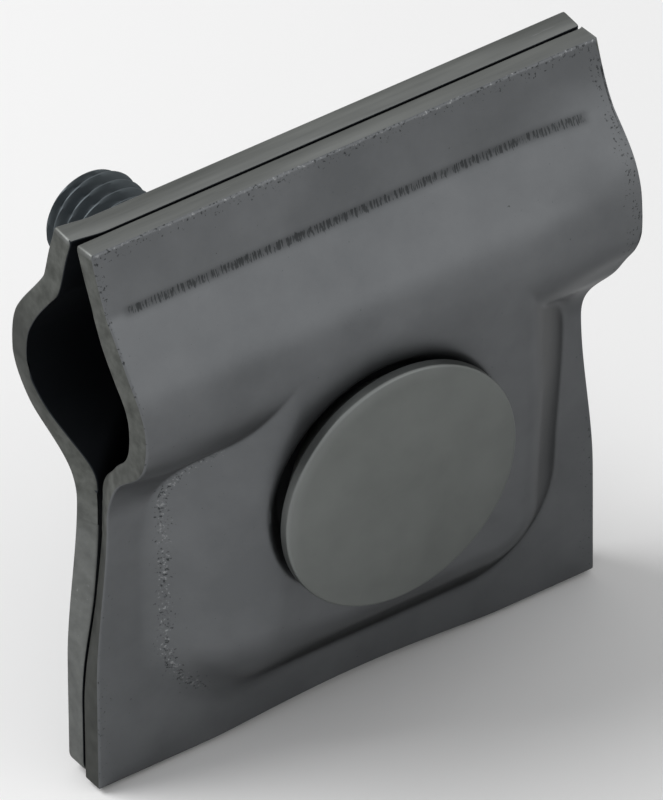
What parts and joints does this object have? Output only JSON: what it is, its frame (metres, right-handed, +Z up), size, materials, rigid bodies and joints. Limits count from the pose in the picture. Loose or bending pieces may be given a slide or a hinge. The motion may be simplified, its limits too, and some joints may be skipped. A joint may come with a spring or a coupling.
{
  "type": "round wire connector clamp",
  "caption": "Square bolted connector clamp: pressed steel plates with a half-round wire channel and a raised pad, closed by a flat-headed bolt, washers and a hex nut.",
  "frame": {"origin": "on the axis of the round wire channel, halfway along it, in the plane where the two plates meet", "axes": "+X along the wire, +Y along the bolt from its head to its nut, +Z up from the bolt to the wire"},
  "size_m": [0.0456, 0.0415, 0.05],
  "materials": {
    "plate_steel": "dull galvanised sheet steel",
    "plated_steel": "satin zinc-plated steel"
  },
  "bodies": {
    "front": {"front_plate": "plate_steel", "bolt": "plated_steel"},
    "washers": {"flat_washer": "plated_steel", "spring_washer": "plated_steel"},
    "rear": {"rear_plate": "plate_steel"},
    "nut": {"hex_nut": "plated_steel"}
  },
  "joints": [
    {"name": "clamp_open", "type": "slide", "parent": "front", "child": "washers", "axis": [0, 1, 0], "range_m": [0, 0.015]},
    {"name": "rear_swivel", "type": "hinge", "parent": "washers", "child": "rear", "pos_m": [0, 0.00395, -0.01275], "axis": [0, 1, 0], "continuous": true},
    {"name": "nut_turn", "type": "hinge", "parent": "washers", "child": "nut", "pos_m": [0, 0.01195, -0.01275], "axis": [0, 1, 0], "range_deg": [0, 4320]}
  ],
  "couplings": [
    {"joint": "nut_turn", "follows": "clamp_open", "rad_per_m": 5026.5}
  ]
}
